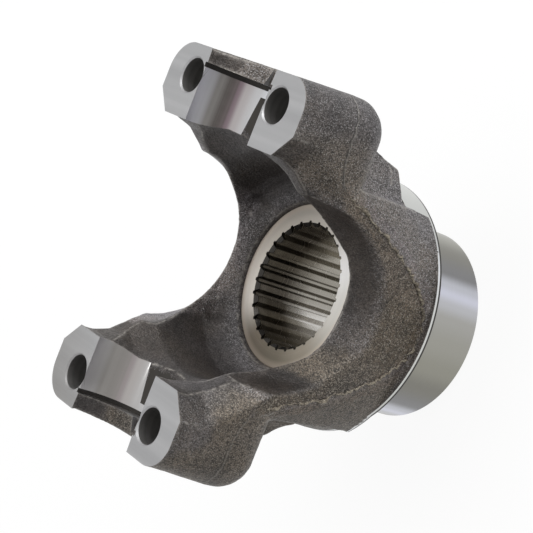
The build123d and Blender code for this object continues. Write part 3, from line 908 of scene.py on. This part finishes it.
def buildBody(node, setup, places):
    # points, faces, masks, finishes and sharp edges of the body
    points, faces, normals, kinds = cutSurface(node, setup, places)
    centres = points[faces].mean(axis=1)
    edges, sides = edgeTable(faces)
    print("body cut finer:", len(faces), "triangles")
    sharp, convex, forged, border = edgeFacts(centres, normals, kinds, edges, sides, setup.sharpDegrees)
    # only vertices whose faces are all forged may move
    movable = np.ones(len(points), dtype=bool)
    movable[faces[kinds != forgedKind].ravel()] = False
    drafted, onDraft = cutDraft(points, places)
    points = np.where(movable[:, None], drafted, points)
    onDraft &= movable
    offDraft = ~onDraft[edges].any(axis=1)
    points = roundEdges(points, edges[sharp & forged & offDraft].ravel(), edges, movable, setup)
    points = pushSkin(points, faces, edges, movable, setup)
    wornGlint = edges[sharp & convex & (border | forged) & offDraft].ravel()
    masks = {"wear": wearGlintMask(points, wornGlint, edges, movable, setup, places)}
    for name, values in skinTones(centres, normals, kinds == forgedKind, toneSetup, places).items():
        masks[name] = onPoints(values, faces, edges, len(points))
    masks["draft"] = np.maximum(masks["draft"], onDraft)
    return points, faces, masks, kinds, edges[sharp & (border | ~forged)]


def makePiece(name, points, faces, materials, masks, kinds=None, sharpPairs=None):
    # a mesh from points in millimetres, with its masks as attributes
    mesh = bpy.data.meshes.new(name)
    mesh.vertices.add(len(points))
    mesh.vertices.foreach_set("co", (np.asarray(points) / 1000.0).astype(np.float32).ravel())
    mesh.loops.add(len(faces) * 3)
    mesh.loops.foreach_set("vertex_index", faces.astype(np.int32).ravel())
    mesh.polygons.add(len(faces))
    mesh.polygons.foreach_set("loop_start", (np.arange(len(faces)) * 3).astype(np.int32))
    if kinds is not None:
        mesh.polygons.foreach_set("material_index", kinds.astype(np.int32))
    mesh.update(calc_edges=True)
    mesh.validate()
    mesh.shade_smooth()
    for label, values in masks.items():
        layer = mesh.attributes.new(label, "FLOAT", "POINT")
        layer.data.foreach_set("value", values.astype(np.float32))
    if sharpPairs is not None:
        ends = np.zeros(len(mesh.edges) * 2, dtype=np.int32)
        mesh.edges.foreach_get("vertices", ends)
        ends = np.sort(ends.reshape(-1, 2), axis=1).astype(np.int64)
        key = ends[:, 0] * len(points) + ends[:, 1]
        wanted = np.sort(sharpPairs[:, 0] * len(points) + sharpPairs[:, 1])
        spot = np.clip(np.searchsorted(wanted, key), 0, len(wanted) - 1)
        layer = mesh.attributes.new("sharp_edge", "BOOLEAN", "EDGE")
        layer.data.foreach_set("value", wanted[spot] == key)
    for material in materials:
        mesh.materials.append(material)
    piece = bpy.data.objects.new(name, mesh)
    bpy.context.collection.objects.link(piece)
    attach(piece, "root")
    return piece


# the body's materials, in the order of the kinds
bodyMaterials = [forgedMaterial("forgedSkin", skinSettings)] + [
    machinedMaterial(name, machinedSettings[key], along, bands) for name, key, along, bands in (
        ("milledPad", "pad", "Y", padBands), ("boredSaddle", "saddle", "X", saddleBands),
        ("facedSeat", "seat", "radius", seatBands), ("turnedHub", "hub", "Z", hubBands),
        ("cutSpline", "spline", "Z", splineBands), ("drilledHole", "hole", "Z", flatBands),
        ("darkRelief", "relief", "Z", flatBands))]
bodyPoints, bodyFaces, *bodyRest = buildBody(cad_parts["yoke"], bodySetup, cutPlaces)
body = makePiece("forgedBody", bodyPoints, bodyFaces, bodyMaterials, *bodyRest)
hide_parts("yoke")
print("body built:", len(body.data.polygons), "triangles")


# flash ridge: the thin jagged edge left where the flash was trimmed, along both side faces, in
# millimetres; height, shift and width vary with a smooth and a rough noise by the shares given, and
# the section's points are (across, up) with 0 for the feet
ridgeSetup = Setup(
    reach=28.6, steps=420, height=0.34, width=0.55, sink=0.3, seed=11, smoothing=9,
    heightShares=(0.75, 0.35, 0.25), heightLimits=(0.12, 1.5), shiftShares=(0.28, 0.12), widthShare=0.3,
    widthLimits=(0.5, 1.6), endSteps=12.0, endLeast=0.05,
    section=((-1.0, 0.0), (-0.15, 1.0), (0.2, 0.9), (1.0, 0.0)))
ridgeFinish = {"wear": 0.85, "wornColour": (0.34, 0.3, 0.23)}


def buildRidge(side, setup, places):
    # a low ridge whose cross section is a triangle: two feet sunk in the side face, a crest above it
    count, run = setup.steps, setup.smoothing
    random = np.random.default_rng(setup.seed + side)
    y = np.linspace(-setup.reach, setup.reach, count)
    z = flashHeight(y, places)
    outY, outZ = np.gradient(z, y), -np.ones(count)
    length = np.hypot(outY, outZ)
    outY, outZ = outY / length, outZ / length
    smooth = np.convolve(random.normal(size=count + run - 1), np.ones(run) / math.sqrt(run), mode="valid")
    rough = random.normal(size=count)
    base, smoothShare, roughShare = setup.heightShares
    height = np.clip(base + smoothShare * smooth + roughShare * rough, *setup.heightLimits)
    height = setup.height * height
    shift = setup.shiftShares[0] * smooth + setup.shiftShares[1] * rough
    width = setup.width * np.clip(1.0 + setup.widthShare * smooth, *setup.widthLimits)
    toEnd = np.minimum(np.arange(count), np.arange(count)[::-1])
    ends = np.clip(toEnd / setup.endSteps, setup.endLeast, 1.0)
    height, width = height * ends, width * ends
    rows = []
    for across, up in setup.section:
        offset = shift + across * width
        level = places.halfSide + (up * height if up else -setup.sink)
        rows.append(np.stack((side * level * np.ones(count), y + outY * offset, z + outZ * offset), axis=1))
    points = np.concatenate(rows)
    faces = []
    for first, second in ((0, 1), (1, 2), (2, 3), (3, 0)):
        a = np.arange(count - 1) + first * count
        b = np.arange(count - 1) + second * count
        faces += [np.stack((a, b, a + 1), axis=1), np.stack((b, b + 1, a + 1), axis=1)]
    caps = np.array([(0, 2 * count, count), (0, 3 * count, 2 * count),
                     (count - 1, 2 * count - 1, 3 * count - 1), (count - 1, 3 * count - 1, 4 * count - 1)])
    faces = np.concatenate(faces + [caps])
    if side > 0:
        faces = faces[:, ::-1]
    # the ridge's crest rows get full wear and painted highlight
    masks = {"wear": np.repeat((0.0, 1.0, 1.0, 0.0), count), "trim": np.ones(len(points))}
    for label in ("inner", "draft", "paintedShade"):
        masks[label] = np.zeros(len(points))
    return points, np.ascontiguousarray(faces), masks


ridgeSkin = forgedMaterial("flashRidge", Setup(**{**vars(skinSettings), **ridgeFinish}))
for ridgeName, ridgeSide in (("flashRidgePlus", 1), ("flashRidgeMinus", -1)):
    ridgePoints, ridgeFaces, ridgeMasks = buildRidge(ridgeSide, ridgeSetup, cutPlaces)
    makePiece(ridgeName, ridgePoints, ridgeFaces, [ridgeSkin], ridgeMasks)
print("flash ridges built")
